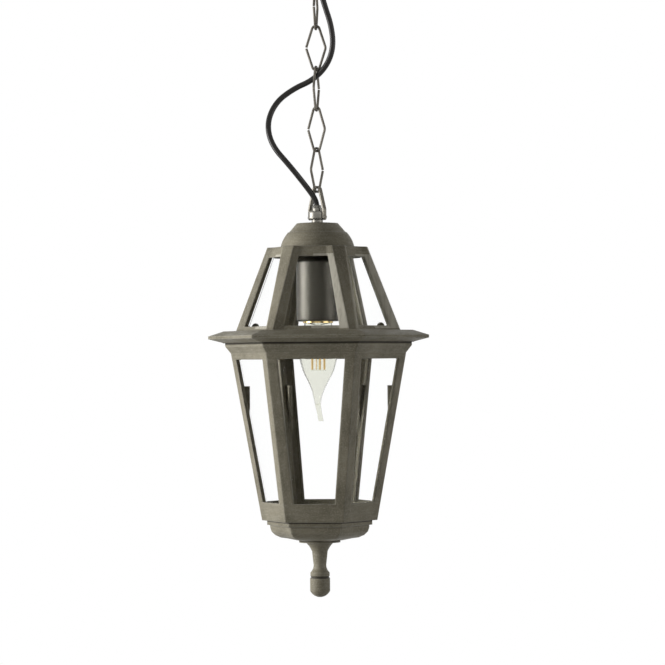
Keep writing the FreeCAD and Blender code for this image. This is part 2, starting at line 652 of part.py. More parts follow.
def bail():
    """Strip bent to a narrow arch with leaning legs, and a pin through each upright foot into the collar."""
    outside = bail_inside + size.bail_strip
    lean_sine, lean_cosine = sine(size.bail_lean), cosine(size.bail_lean)
    half_lean = (1 - lean_cosine) / lean_sine

    def flank(foot, arch, bend):
        """One face of the right leg: the upright foot's end, the lean's start and its end at the arch."""
        corner = size.bail_leg + arch * lean_sine - (foot - arch * lean_cosine) * lean_cosine / lean_sine
        run = bend * half_lean
        return (
            (foot, corner - run),
            (foot - run * lean_sine, corner + run * lean_cosine),
            (arch * lean_cosine, size.bail_leg + arch * lean_sine),
        )

    outer_arch, outer_bend = size.bail_bend + size.bail_strip, size.bail_foot_bend + size.bail_strip
    (_, outer_foot), (outer_x, outer_z), (outer_end, outer_peak) = flank(outside, outer_arch, outer_bend)
    (_, inner_foot), (inner_x, inner_z), (inner_end, inner_peak) = flank(
        bail_inside, size.bail_bend, size.bail_foot_bend
    )
    body = doc.addObject("PartDesign::Body", "bail_strip_body")
    sketch = sketch_in(body, "XZ_Plane", "bail_side")
    draw(
        sketch,
        [
            (bail_inside, -size.bail_tail),
            (outside, -size.bail_tail),
            (outside, outer_foot),
            (outer_x, outer_z, outer_bend, 1),
            (outer_end, outer_peak),
            (-outer_end, outer_peak, outer_arch, 1),
            (-outer_x, outer_z),
            (-outside, outer_foot, outer_bend, 1),
            (-outside, -size.bail_tail),
            (-bail_inside, -size.bail_tail),
            (-bail_inside, inner_foot),
            (-inner_x, inner_z, size.bail_foot_bend, -1),
            (-inner_end, inner_peak),
            (inner_end, inner_peak, size.bail_bend, -1),
            (inner_x, inner_z),
            (bail_inside, inner_foot, size.bail_foot_bend, -1),
        ],
    )
    strip = body.newObject("PartDesign::Pad", "bail_pad")
    strip.Profile = sketch
    strip.SideType = "Symmetric"
    bind(strip, Length=size.bail_width)
    body.Tip = strip
    doc.recompute()
    tail_edges = [
        f"Edge{number}"
        for number, edge in enumerate(strip.Shape.Edges, start=1)
        if abs(edge.BoundBox.ZMax + size.bail_tail.value) < 1e-6 and edge.BoundBox.XLength > 1e-6
    ]
    rounding = body.newObject("PartDesign::Fillet", "bail_tails")
    rounding.Base = (strip, tail_edges)
    bind(rounding, Radius=size.bail_width / 2 - size.fit_gap)
    body.Tip = rounding
    place(body, z=bail_pins, yaw=size.bail_turn)
    across = 2 * (outside + 1)
    hole = doc.addObject("Part::Cylinder", "bail_hole")
    bind(hole, Radius=size.pin_width / 2 + size.pin_gap, Height=across)
    reach = outside + 1
    toward_x, toward_y = cosine(size.bail_turn), sine(size.bail_turn)
    place(hole, -reach * toward_x, -reach * toward_y, bail_pins, yaw=size.bail_turn, pitch=90)
    keep("bail", cut("bail_bored", body, [hole]))
    pins = []
    start = size.collar_radius - size.pin_depth
    head_start = outside + size.pin_gap
    for side, name in ((0, "near"), (180, "far")):
        yaw = size.bail_turn + side
        pieces = []
        for piece, radius, first, last in (
            ("shank", size.pin_width / 2, start, head_start),
            ("head", size.pin_head / 2, head_start, head_start + size.pin_head_height),
        ):
            cylinder = doc.addObject("Part::Cylinder", f"pin_{piece}_{name}")
            bind(cylinder, Radius=radius, Height=last - first)
            place(cylinder, first * cosine(yaw), first * sine(yaw), bail_pins, yaw=yaw, pitch=90)
            pieces.append(cylinder)
        pins.append(fused(f"pin_{name}", pieces))
    keep("bail_pins", group("pins", pins))


def collar():
    """Turned collar on the nipple, bored crosswise for the bail's pins, with the cord's ferrule on top."""
    edge = size.collar_edge
    bore = size.nipple_radius + size.fit_gap
    lip = size.ferrule_spigot + size.fit_gap
    lip_low = size.collar_height - size.collar_lip
    blank = turned(
        "collar_blank",
        [
            (bore, 0),
            (size.collar_radius - edge, 0),
            (size.collar_radius, edge),
            (size.collar_radius, size.collar_height - edge),
            (size.collar_radius - edge, size.collar_height),
            (lip, size.collar_height),
            (lip, lip_low),
            (bore, lip_low),
        ],
        z=collar_foot,
    )
    ways = []
    start = size.collar_radius - size.pin_depth
    for side, name in ((0, "near"), (180, "far")):
        yaw = size.bail_turn + side
        way = doc.addObject("Part::Cylinder", f"pin_way_{name}")
        bind(way, Radius=size.pin_width / 2 + size.fit_gap / 2, Height=size.pin_depth + 1)
        place(way, start * cosine(yaw), start * sine(yaw), bail_pins, yaw=yaw, pitch=90)
        ways.append(way)
    keep("collar", cut("collar_bored", blank, ways))
    passage = size.cord_width / 2 + size.ferrule_play
    spigot = size.collar_lip
    shoulder = spigot + size.ferrule_height
    top = shoulder + size.ferrule_nose
    ferrule = [
        (passage, 0),
        (size.ferrule_spigot, 0),
        (size.ferrule_spigot, spigot),
        (size.ferrule_radius, spigot),
        (size.ferrule_radius, shoulder - edge),
        (size.ferrule_radius - edge, shoulder),
        (size.ferrule_nose_radius, top),
        (passage, top),
    ]
    keep("cord_ferrule", turned("ferrule", ferrule, z=collar_top - spigot))


def nipple():
    """Threaded tube that carries collar, roof and lamp holder, with washer and lock nut under the dome."""
    top = collar_top - size.collar_lip - size.fit_gap
    low = holder_peak - size.nipple_depth
    outline = [(size.nipple_bore, 0), (size.nipple_radius, 0)]
    outline += [(radius, top - low) for radius, _ in reversed(outline)]
    keep("threaded_nipple", turned("nipple_tube", outline, z=low))
    dome_inside = dome_peak - size.dome_crown - size.casting_wall
    hole = size.nipple_radius + size.fit_gap
    ring = [(hole, 0), (size.dome_washer_width / 2, 0)]
    ring += [(radius, size.dome_washer) for radius, _ in reversed(ring)]
    washer_low = dome_inside - size.dome_washer
    keep("dome_washer", turned("washer_for_dome", ring, z=washer_low))
    nut_low = washer_low - size.lock_nut
    keep("lock_nut", hex_nut("nut_for_dome", size.lock_nut_flats, nut_low, washer_low, hole))


def fixing_lug(name, side, outer, low, high):
    """Lug in the hexagon corner on one side of X."""
    half = size.lug_width / 2
    azimuth = 0 if side > 0 else 180
    ends = [(z, half, size.lug_reach, outer) for z in (low, high)]
    return upright_block(name, azimuth, *ends)


def stud_ways(name, low, high):
    """The two holes for the roof studs."""
    radius = size.stud_width / 2 + size.fit_gap
    return [
        rod(f"{name}_{word}", radius, low, high, size.stud_place * side)
        for side, word in ((-1, "left"), (1, "right"))
    ]


def roof_rib(name, azimuth):
    """A bar along one corner of the roof: a flat crest and a bevel at each side, down to the windows."""
    reach = size.rib_width + size.rib_lap
    outlines = []
    for word, z, corner, crest, flat in (
        ("top", band_peak, size.band_top, size.band_top, size.rib_flat_top),
        ("foot", edge_peak, roof_corner(edge_peak), size.rib_crest, size.rib_flat_foot),
    ):
        outline = doc.addObject("Sketcher::SketchObject", f"{name}_{word}")
        base, side = corner - reach / 2, reach * APOTHEM
        draw(outline, [(base, -side), (crest, -flat / 2), (crest, flat / 2), (base, side)])
        place(outline, z=z, yaw=azimuth)
        outlines.append(outline)
    return ruled(name, outlines)


def roof_frame():
    """One casting: turned dome, hexagon band, six ribs with windows between them, broad eave, two lugs."""
    top = size.dome_height
    shoulder = top - size.dome_shoulder_drop
    hole = size.nipple_radius + size.fit_gap
    wall = size.casting_wall
    dome_outline = [
        (size.dome_base - wall, 0),
        (size.dome_base, 0),
        (size.dome_shoulder, shoulder, size.dome_bend, 1),
        (size.dome_shoulder - size.dome_ledge, shoulder),
        (size.dome_top, top - size.dome_crown),
        (hole, top),
        (hole, top - size.dome_crown - wall),
        (size.dome_top - wall, top - size.dome_crown - wall),
        (size.dome_shoulder - wall, shoulder - wall / 2),
    ]
    dome = turned("roof_dome", dome_outline, z=band_peak)
    slope = hex_solid(
        "roof_slope",
        [
            (size.band_top, band_peak),
            (size.band_foot, band_low),
            (size.rib_foot, eave_peak),
            (size.rib_foot, edge_peak),
        ],
    )
    eave = hex_solid(
        "roof_eave",
        [
            (size.eave_flat, eave_peak),
            (size.eave_tip, edge_peak),
            (size.eave_tip, edge_low),
            (size.eave_under, lip_peak),
            (size.eave_under, roof_low),
        ],
    )
    hollow = hex_solid(
        "roof_hollow",
        [
            (size.band_top - wall_corner, band_peak - wall),
            (size.band_foot - wall_corner, band_low),
            (size.rib_foot - wall_corner, eave_peak),
            (size.rib_foot - wall_corner, roof_low - 1),
        ],
    )
    dome_way = rod("roof_dome_way", size.dome_base - wall, band_peak - wall - 1, band_peak + 1)
    ribs = [roof_rib(f"roof_rib_{number + 1}", CORNER_ANGLE * number) for number in range(6)]
    shell = cut("roof_shell", fused("roof_blank", [slope, eave] + ribs), [hollow, dome_way])
    lug_end = size.rib_foot - wall_corner / 2 - size.lug_width / 2 * math.tan(math.radians(FACE_ANGLE)) / 2
    lugs = [
        fixing_lug(f"roof_lug_{word}", side, lug_end, roof_low, eave_peak)
        for side, word in ((-1, "left"), (1, "right"))
    ]
    head, sill = band_low - size.roof_head, eave_peak + size.roof_sill
    windows = []
    for number in range(6):
        ends = []
        for z in (sill, head):
            face = roof_corner(z) * APOTHEM
            ends.append((z, roof_corner(z) / 2 - size.rib_width, face - 2 * wall, face + wall))
        windows.append(upright_block(f"roof_window_{number + 1}", FACE_ANGLE + CORNER_ANGLE * number, *ends))
    frame = fused("roof_body", [shell, dome] + lugs)
    ways = stud_ways("roof_stud_way", roof_low - 1, eave_peak + 1)
    keep("roof_frame", cut("roof", frame, windows + ways))


def panes(label, corner, low, high, frame_width):
    """Six panes bonded behind the frame, lapping its openings all round."""
    for number in range(6):
        ends = []
        for z in (low - size.pane_lap, high + size.pane_lap):
            face = corner(z) * APOTHEM - size.casting_wall
            ends.append((z, corner(z) / 2 - frame_width + size.pane_lap, face - size.glass, face))
        azimuth = FACE_ANGLE + CORNER_ANGLE * number
        keep(f"{label}_{number + 1}", upright_block(f"{label}_glass_{number + 1}", azimuth, *ends))


def roof_fixings():
    """Two studs that hold roof and cage together, each with a dome nut on the roof's lug."""
    radius = size.stud_width / 2
    studs, nuts = [], []
    for side, word in ((-1, "left"), (1, "right")):
        x = size.stud_place * side
        studs.append(rod(f"stud_{word}", radius, roof_low - size.lug_depth, eave_peak + size.stud_top, x))
        hexagon = doc.addObject("Part::Prism", f"dome_nut_hexagon_{word}")
        hexagon.Polygon = 6
        bind(hexagon, Circumradius=size.cap_nut_flats / (2 * APOTHEM), Height=size.cap_nut_height)
        place(hexagon, x=x, z=eave_peak)
        ball = doc.addObject("Part::Sphere", f"dome_nut_ball_{word}")
        bind(ball, Radius=size.cap_nut_dome)
        place(ball, x=x, z=eave_peak + size.cap_nut_height)
        blank = fused(f"dome_nut_blank_{word}", [hexagon, ball])
        bore_top = eave_peak + size.stud_top + size.fit_gap
        bore = rod(f"dome_nut_bore_{word}", radius + size.fit_gap, eave_peak - 1, bore_top, x)
        nuts.append(cut(f"dome_nut_{word}", blank, [bore]))
    keep("roof_studs", group("studs", studs))
    keep("roof_dome_nuts", group("dome_nuts", nuts))


def lantern_cage():
    """One casting: cornice, six tapering posts with an inside web each, sill, skirt and floor."""
    wall = size.casting_wall
    outer = hex_solid(
        "cage_outer",
        [
            (size.cornice, roof_low),
            (size.cornice, roof_low - size.cornice_face),
            (size.cornice_foot, roof_low - size.cornice_face - size.cornice_bevel),
            (size.wall_top, wall_peak),
            (size.wall_foot, cage_low),
        ],
    )
    hollow = hex_solid(
        "cage_hollow",
        [
            (size.wall_top - wall_corner, roof_low + 1),
            (size.wall_top - wall_corner, wall_peak),
            (cage_corner(floor_peak) - wall_corner, floor_peak),
        ],
    )
    recess_corner = size.step_radius + size.step_gap
    recess = hex_solid("cage_recess", [(recess_corner, cage_low - 1), (recess_corner, floor_low)])
    stud_way = rod("cage_floor_way", size.finial_stud / 2 + size.fit_gap, floor_low - 1, floor_peak + 1)
    shell = cut("cage_shell", outer, [hollow, recess, stud_way])
    head, sill = roof_low - size.cage_head, cage_low + size.cage_sill
    windows, webs = [], []
    web_peak = roof_low - size.web_drop
    meeting = (size.wall_top - wall_corner - size.web_reach) / (size.wall_top - size.wall_foot)
    web_low = wall_peak - (wall_peak - cage_low) * meeting
    for number in range(6):
        ends = []
        for z in (sill, head):
            face = cage_corner(z) * APOTHEM
            ends.append((z, cage_corner(z) / 2 - size.post_width, face - 2 * wall, face + wall))
        windows.append(upright_block(f"cage_window_{number + 1}", FACE_ANGLE + CORNER_ANGLE * number, *ends))
        ends = []
        for z in (web_low, web_peak):
            ends.append((z, size.web_width / 2, size.web_reach, cage_corner(z) - wall_corner / 2))
        webs.append(upright_block(f"cage_web_{number + 1}", CORNER_ANGLE * number, *ends))
    lug_end = size.wall_top - wall_corner / 2
    lug_low = roof_low - size.lug_depth
    lugs = [
        fixing_lug(f"cage_lug_{word}", side, lug_end, lug_low, roof_low)
        for side, word in ((-1, "left"), (1, "right"))
    ]
    opened = cut("cage_opened", shell, windows)
    ways = stud_ways("cage_stud_way", lug_low - 1, roof_low + 1)
    keep("lantern_cage", cut("cage", fused("cage_body", [opened] + webs + lugs), ways))


def base_bowl():
    """Casting let into the cage's foot: step ring, hexagon bowl with a round edge, hub for the stud."""
    wall_corner_inside = size.step_radius - wall_corner
    ring = hex_solid("bowl_step", [(size.step_radius, floor_low), (size.step_radius, step_low)])
    steps = 4
    sections = [(size.bowl_radius, step_low + size.casting_wall), (size.bowl_radius, round_peak)]
    for step in range(1, steps + 1):
        angle = math.radians(90 * step / steps)
        corner = between(size.bowl_turn, size.bowl_radius, math.cos(angle))
        sections.append((corner, round_peak - size.bowl_round * math.sin(angle)))
    sections.append((size.bowl_foot, bowl_low))
    bowl = hex_solid("bowl_round", sections)
    hollow = hex_solid(
        "bowl_hollow",
        [
            (wall_corner_inside, floor_low + 1),
            (size.bowl_radius - wall_corner, step_low),
            (size.bowl_turn, round_low + size.casting_wall),
        ],
    )
    hub = rod("bowl_hub", size.hub_radius, round_low, floor_low)
    way = rod("bowl_way", size.finial_stud / 2 + size.fit_gap, bowl_low - 1, floor_low + 1)
    cup = cut("bowl_cup", fused("bowl_blank", [ring, bowl]), [hollow])
    keep("base_bowl", cut("bowl", fused("bowl_body", [cup, hub]), [way]))


def finial():
    """Turned finial with its stud, which draws bowl and cage together under a nut on the cage's floor."""
    heights = {}
    level = ceiling
    for name, rise in (
        ("knob_low", size.finial_end),
        ("knob_top", size.finial_knob_height),
        ("groove", size.finial_groove),
        ("collar_low", size.finial_groove),
        ("collar_top", size.finial_collar_height),
        ("neck_low", size.finial_flare),
        ("neck_top", size.finial_neck_height),
        ("step", size.finial_cove_height),
        ("top", size.finial_ring_height),
    ):
        level = level + rise
        heights[name] = level
    nut_top = floor_peak + size.finial_nut
    stud_length = nut_top + size.stud_end - bowl_low
    stud = size.finial_stud / 2
    outline = [
        (0, 0),
        (size.finial_knob, heights["knob_low"], size.finial_end_bend, 1),
        (size.finial_knob, heights["knob_top"]),
        (size.finial_knob - size.finial_groove_depth, heights["groove"]),
        (size.finial_collar, heights["collar_low"]),
        (size.finial_collar, heights["collar_top"]),
        (size.finial_neck, heights["neck_low"], size.finial_flare_bend, -1),
        (size.finial_cove, heights["neck_top"]),
        (size.finial_step, heights["step"], size.finial_cove_bend, -1),
        (size.finial_ring, heights["step"]),
        (size.finial_ring, heights["top"]),
        (stud, heights["top"]),
        (stud, heights["top"] + stud_length),
        (0, heights["top"] + stud_length),
    ]
    keep("finial", turned("finial_turned", outline, z=bowl_low - heights["top"]))
    hole = stud + size.fit_gap
    keep("finial_nut", hex_nut("nut_for_finial", size.finial_nut_flats, floor_peak, nut_top, hole))


def lamp_holder():
    """Moulded lamp holder: domed cap on the nipple, plain shell, screw insert and centre contact."""
    radius, wall, edge = size.holder_radius, size.holder_wall, size.holder_edge
    bore = size.nipple_radius + size.fit_gap
    hollow = radius - wall * 1.5
    cap = [
        (hollow, 0),
        (radius, 0),
        (radius, size.holder_cap_side),
        (size.holder_cap_top, size.holder_cap, size.holder_cap_bend, 1),
        (bore, size.holder_cap),
        (bore, size.holder_cap_hollow),
        (hollow, size.holder_cap_hollow),
    ]
    keep("lampholder_cap", turned("holder_cap_turned", cap, z=holder_joint))
    shell = [
        (radius - wall, 0),
        (radius - edge, 0),
        (radius, edge, edge, 1),
        (radius, size.holder_shell),
        (radius - wall, size.holder_shell),
    ]
    keep("lampholder_shell", turned("holder_shell_turned", shell, z=holder_low))
    outside = radius - wall - size.fit_gap
    insert_height = size.holder_shell - size.insert_lift
    rivet = size.contact_rivet + size.fit_gap
    insert = [
        (size.insert_bore, 0),
        (outside, 0),
        (outside, insert_height),
        (rivet, insert_height),
        (rivet, insert_height - size.insert_plate),
        (size.insert_bore, insert_height - size.insert_plate),
    ]
    keep("lampholder_insert", turned("holder_insert_turned", insert, z=holder_low + size.insert_lift))
    contact_top = size.contact_height + size.insert_plate
    contact = [
        (0, 0),
        (size.contact_radius, 0),
        (size.contact_radius, size.contact_height),
        (size.contact_rivet, size.contact_height),
        (size.contact_rivet, contact_top),
        (0, contact_top),
    ]
    plate_low = holder_joint - size.insert_plate
    keep("lampholder_contact", turned("holder_contact_turned", contact, z=plate_low - size.contact_height))


def bulb():
    """Clear bent-tip candle bulb: screw cap and contact button, blown envelope, stem, four filaments."""
    button_top = holder_joint - size.insert_plate - size.contact_height
    cone_top = button_top - size.bulb_button
    side_top = cone_top - size.bulb_cap_cone
    cap_low = side_top - size.bulb_cap_height
    wall = size.bulb_cap_wall
    side, top = size.bulb_cap_height, size.bulb_cap_height + size.bulb_cap_cone
    cap = [
        (size.bulb_cap - wall, 0),
        (size.bulb_cap, 0),
        (size.bulb_cap, side),
        (size.bulb_cap_seat, top),
        (size.bulb_cap_seat, top - wall),
        (size.bulb_cap - wall, side - wall),
    ]
    keep("bulb_cap", turned("bulb_cap_turned", cap, z=cap_low))
    button = [
        (0, 0),
        (size.bulb_cap_seat, 0),
        (size.bulb_cap_seat, wall),
        (size.contact_radius, wall + size.bulb_button),
        (0, wall + size.bulb_button),
    ]
    keep("bulb_contact", turned("bulb_button_turned", button, z=cone_top - wall))
    neck_top = cap_low + size.bulb_cap_height / 4
    wide = cap_low - size.bulb_widest
    tip = cap_low - size.bulb_length
    swell, tail = size.bulb_width - size.bulb_neck, size.bulb_width - size.bulb_tail
    # Share of the way from cap to widest place, and of the swell there
    shoulder = ((0.16, 0.05), (0.55, 0.62), (1.0, 1.0))
    # Share of the way from the widest place to the tip, share of the narrowing there, share of the sway
    flame = ((0.15, 0.09, 0), (0.3, 0.26, 0), (0.43, 0.52, -0.1), (0.57, 0.78, -0.3), (0.7, 0.92, -0.5))
    flame += ((0.8, 0.98, -0.2), (0.9, 1.0, 0.4), (1.0, 1.0, 1.0))
    rings = [(between(neck_top, cap_low, step / 2), size.bulb_neck, as_dim(0)) for step in range(3)]
    for down, out in shoulder:
        rings.append((between(cap_low, wide, down), size.bulb_neck + swell * out, as_dim(0)))
    for down, narrow, sway in flame:
        rings.append((between(wide, tip, down), size.bulb_width - tail * narrow, size.bulb_sway * sway))

    def envelope(name, thinner):
        circles = []
        for number, (z, radius, sway) in enumerate(rings, start=1):
            circle = doc.addObject("Part::Circle", f"{name}_ring_{number}")
            bind(circle, Radius=radius - thinner)
            place(circle, x=sway, z=z)
            circles.append(circle)
        loft = doc.addObject("Part::Loft", name)
        loft.Sections = circles
        loft.Solid = True
        loft.Ruled = False
        return loft

    tip_stop = rod("bulb_tip_stop", size.bulb_width, tip - 1, tip + size.bulb_tip)
    hollow = cut("bulb_hollow", envelope("bulb_hollow_blank", size.bulb_wall), [tip_stop])
    top_way = rod("bulb_neck_way", size.bulb_neck - size.bulb_wall, neck_top - 1, neck_top + 1)
    keep("bulb_glass", cut("bulb_blown", envelope("bulb_envelope", as_dim(0)), [hollow, top_way]))
    plate = size.stem_plate
    thin = size.bulb_wall
    flare = size.bulb_neck - size.bulb_wall - size.fit_gap
    upper = cap_low - size.stem_drop
    lower_top = upper - size.filament_length
    stem_low = lower_top - thin
    heights = {
        "lower": thin,
        "upper": upper - stem_low,
        "plate": upper + thin - stem_low,
        "flare": cap_low - stem_low,
    }
    stem = [
        (0, 0),
        (plate, 0),
        (plate, heights["lower"]),
        (size.stem_rod, heights["lower"]),
        (size.stem_rod, heights["upper"]),
        (plate, heights["upper"]),
        (plate, heights["plate"]),
        (size.stem_rod * 2, heights["plate"]),
        (size.stem_rod * 2, heights["flare"] - thin * 2),
        (flare, heights["flare"]),
        (flare, heights["flare"] + thin),
        (0, heights["flare"] + thin),
    ]
    keep("bulb_stem", turned("bulb_stem_turned", stem, z=stem_low))
    filaments = []
    for number in range(4):
        turn = size.filament_turn + 90 * number
        x, y = size.filament_ring * cosine(turn), size.filament_ring * sine(turn)
        filaments.append(rod(f"filament_{number + 1}", size.filament_radius, lower_top, upper, x, y))
    keep("bulb_filaments", group("filaments", filaments))


def supply_cord():
    """Round cord from the gland to the ferrule, threaded through the third link.

    Its path is straight runs joined by tangent arcs, each as large as its two runs allow."""
    route = [
        Vector(4.0, -15.0, -27.0),
        Vector(4.0, -15.0, -43.0),
        Vector(8.5, -11.8, -61.0),
        Vector(14.6, -8.6, -80.0),
        Vector(16.2, -7.0, -99.0),
        Vector(9.8, -4.0, -115.2),
        Vector(-3.5, 0.9, -127.0),
        Vector(-20.0, 2.8, -133.6),
        Vector(-36.0, 1.0, -145.5),
        Vector(-43.5, -4.0, -164.0),
        Vector(-39.0, -10.5, -184.0),
        Vector(-22.4, -14.0, -203.0),
        Vector(-11.6, -5.2, -217.2),
        Vector(-4.2, -1.75, -227.3),
        Vector(-1.4, -0.65, -232.4),
        Vector(0.0, 0.0, -238.1),
        Vector(0.0, 0.0, -245.4),
    ]
    share_of_run = 0.45
    edges, radii = [], []
    here = route[0]
    for before, corner, after in zip(route, route[1:], route[2:]):
        run_in, run_out = corner - before, after - corner
        reach = share_of_run * min(run_in.Length, run_out.Length)
        half_turn = run_in.getAngle(run_out) / 2
        start = corner - run_in.normalize() * reach
        end = corner + run_out.normalize() * reach
        radius = reach / math.tan(half_turn)
        inward = (end - corner) + (start - corner)
        bow = radius / math.cos(half_turn) - radius
        middle = corner + inward.normalize() * bow
        edges.append(Part.LineSegment(here, start).toShape())
        edges.append(Part.Arc(start, middle, end).toShape())
        radii.append(radius)
        here = end
    edges.append(Part.LineSegment(here, route[-1]).toShape())
    path = Part.Wire(edges)
    width = size.cord_width.value
    end_face = Part.Wire(Part.Circle(route[0], route[1] - route[0], width / 2).toShape())
    tube = path.makePipeShell([end_face], True, False)
    expected = math.pi * width**2 / 4 * path.Length
    print("cord length", round(path.Length, 1), "bend radii", [round(radius, 1) for radius in radii])
    print("cord volume over section times length", round(tube.Volume / expected, 4))
    cord = doc.addObject("Part::Feature", "cord")
    cord.Shape = tube
    keep("supply_cord", cord)


ceiling_canopy()
canopy_hook()
cord_gland()
terminal_block()
chain_links()
bail()
collar()
nipple()
roof_frame()
panes("roof_pane", roof_corner, eave_peak + size.roof_sill, band_low - size.roof_head, size.rib_width)
roof_fixings()
lamp_holder()
bulb()
lantern_cage()
panes("body_pane", cage_corner, cage_low + size.cage_sill, roof_low - size.cage_head, size.post_width)
base_bowl()
finial()
supply_cord()
doc.recompute()

for obj in doc.Objects:
    if "Invalid" in obj.State or "Error" in obj.State:
        raise RuntimeError(f"{obj.Label} failed: {obj.State}")
for label, obj in subparts.items():
    if obj.Shape.isNull() or not obj.Shape.isValid() or not obj.Shape.Solids:
        raise RuntimeError(f"{label} has no valid solid")

os.makedirs("parts", exist_ok=True)
for label, obj in subparts.items():
    obj.Shape.exportStep(f"parts/{label}.step")
print(len(subparts), "sub-parts")
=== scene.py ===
import math

import bmesh
import bpy
from mathutils import Matrix, Vector


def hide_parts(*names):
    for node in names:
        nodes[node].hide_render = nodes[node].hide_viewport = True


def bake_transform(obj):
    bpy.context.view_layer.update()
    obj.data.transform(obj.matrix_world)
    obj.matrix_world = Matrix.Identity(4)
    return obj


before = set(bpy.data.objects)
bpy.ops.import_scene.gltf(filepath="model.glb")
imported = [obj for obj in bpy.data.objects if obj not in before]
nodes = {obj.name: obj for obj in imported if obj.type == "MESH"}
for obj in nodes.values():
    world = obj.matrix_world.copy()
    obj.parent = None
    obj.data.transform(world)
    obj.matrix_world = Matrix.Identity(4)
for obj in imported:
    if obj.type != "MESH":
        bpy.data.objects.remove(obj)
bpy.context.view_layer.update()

scene = bpy.context.scene

# Ceiling canopy: a shallow cast cup that hides the wiring.
# Cast aluminium with a weathered grey-brown paint, rubbed thin along the edges.
# Two screws hold it to the ceiling through the holes in its rim.
off_to_on = (0.0, 1.0)
number_socket, vector_socket = "NodeSocketFloat", "NodeSocketVector"


def plug(tree, socket, value):
    """Link a socket to another one, or give it a plain value."""
    if isinstance(value, bpy.types.NodeSocket):
        tree.links.new(value, socket)
    else:
        socket.default_value = value


def feed(tree, node, **inputs):
    """Fill a node's inputs, named in lower case with underscores; the first of a name counts."""
    sockets = {socket.name.lower().replace(" ", "_"): socket
               for socket in reversed(node.inputs) if socket.enabled}
    for label, value in inputs.items():
        plug(tree, sockets[label], value)
    return node


def add(tree, kind, **inputs):
    """A new node with its inputs filled."""
    return feed(tree, tree.nodes.new(kind), **inputs)


def joined(tree, operation, *values, kind="ShaderNodeMath", result=0):
    """Values or links put together by one sum."""
    node = tree.nodes.new(kind)
    node.operation = operation
    for socket, value in zip(node.inputs, values):
        plug(tree, socket, value)
    return node.outputs[result]


def mixed(tree, share, first, second):
    """One colour over another, by a mask."""
    node = tree.nodes.new("ShaderNodeMix")
    node.data_type = "RGBA"
    share_socket, first_colour, second_colour, colour_result = 0, 6, 7, 2
    plug(tree, node.inputs[share_socket], share)
    plug(tree, node.inputs[first_colour], first)
    plug(tree, node.inputs[second_colour], second)
    return node.outputs[colour_result]


def spread(tree, value, span, target):
    """A value moved from one span to another and kept inside it."""
    node = add(tree, "ShaderNodeMapRange", value=value, from_min=span[0], from_max=span[1],
               to_min=target[0], to_max=target[1])
    return node.outputs[0]


def place_on(tree):
    """The place on a piece, in Object coordinates."""
    return add(tree, "ShaderNodeTexCoord").outputs["Object"]


def axes_on(tree):
    """The place on a piece as X, Y and Z."""
    return add(tree, "ShaderNodeSeparateXYZ", vector=place_on(tree)).outputs


def node_group(name, inputs, outputs):
    """A shader node group with its sockets; gives the tree, its input node and its output node."""
    tree = bpy.data.node_groups.new(name, "ShaderNodeTree")
    for label, value in inputs.items():
        socket = tree.interface.new_socket(name=label, in_out="INPUT", socket_type=number_socket)
        socket.default_value = value
    for label, kind in outputs.items():
        tree.interface.new_socket(name=label, in_out="OUTPUT", socket_type=kind)
    return tree, tree.nodes.new("NodeGroupInput"), tree.nodes.new("NodeGroupOutput")


def grouped(tree, group, **inputs):
    """A node that holds a group, with its inputs filled."""
    node = tree.nodes.new("ShaderNodeGroup")
    node.node_tree = group
    return feed(tree, node, **inputs)


def finish(name, **constants):
    """A new material; gives it with its tree and its Principled shader."""
    material = bpy.data.materials.new(name)
    material.use_nodes = True
    tree = material.node_tree
    shader = next(node for node in tree.nodes if node.type == "BSDF_PRINCIPLED")
    feed(tree, shader, **constants)
    return material, tree, shader


def roughened(tree, shader, height, strength, depth, normal=None):
    """Fine relief in a shader's surface, over its own normal or a rounded one."""
    relief = add(tree, "ShaderNodeBump", strength=strength, distance=depth, height=height)
    if normal is not None:
        feed(tree, relief, normal=normal)
    feed(tree, shader, normal=relief.outputs[0])


def dress(material, *names):
    """Put a material on every slot of these CAD nodes."""
    for name in names:
        mesh = nodes[name].data
        mesh.materials.clear()
        mesh.materials.append(material)


def make_mottle():
    """Cloudy patches with fine grain in them."""
    cloud_span = (0.32, 0.68)
    tree, given, made = node_group(
        "mottle",
        {"Scale": 40.0, "Grain": 900.0, "Stretch": 1.0},
        {"Patches": number_socket, "Grain": number_socket},
    )
    size = add(tree, "ShaderNodeCombineXYZ", x=1.0, y=1.0, z=given.outputs["Stretch"])
    pulled = joined(tree, "MULTIPLY", place_on(tree), size.outputs[0], kind="ShaderNodeVectorMath")
    clouds = add(tree, "ShaderNodeTexNoise", vector=pulled, scale=given.outputs["Scale"],
                 detail=5.0, roughness=0.6)
    grain = add(tree, "ShaderNodeTexNoise", vector=pulled, scale=given.outputs["Grain"],
                detail=3.0, roughness=0.7)
    feed(tree, made, patches=spread(tree, clouds.outputs["Fac"], cloud_span, off_to_on),
         grain=grain.outputs["Fac"])
    return tree


def make_edge_wear():
    """A mask along sharp edges, broken by noise, and a normal that rounds those edges."""
    flat_to_sharp = (0.992, 0.91)
    noise_span, noise_share = (0.3, 0.6), (0.35, 1.0)
    tree, given, made = node_group(
        "edge_wear", {"Radius": 0.001}, {"Mask": number_socket, "Normal": vector_socket})
    rounded = add(tree, "ShaderNodeBevel", radius=given.outputs["Radius"])
    rounded.samples = 6
    sharp = add(tree, "ShaderNodeNewGeometry").outputs["Normal"]
    likeness = joined(tree, "DOT_PRODUCT", rounded.outputs[0], sharp,
                      kind="ShaderNodeVectorMath", result="Value")
    broken = add(tree, "ShaderNodeTexNoise", vector=place_on(tree), scale=260.0, detail=4.0)
    edge = spread(tree, likeness, flat_to_sharp, off_to_on)
    patchy = spread(tree, broken.outputs["Fac"], noise_span, noise_share)
    feed(tree, made, mask=joined(tree, "MULTIPLY", edge, patchy), normal=rounded.outputs[0])
    return tree


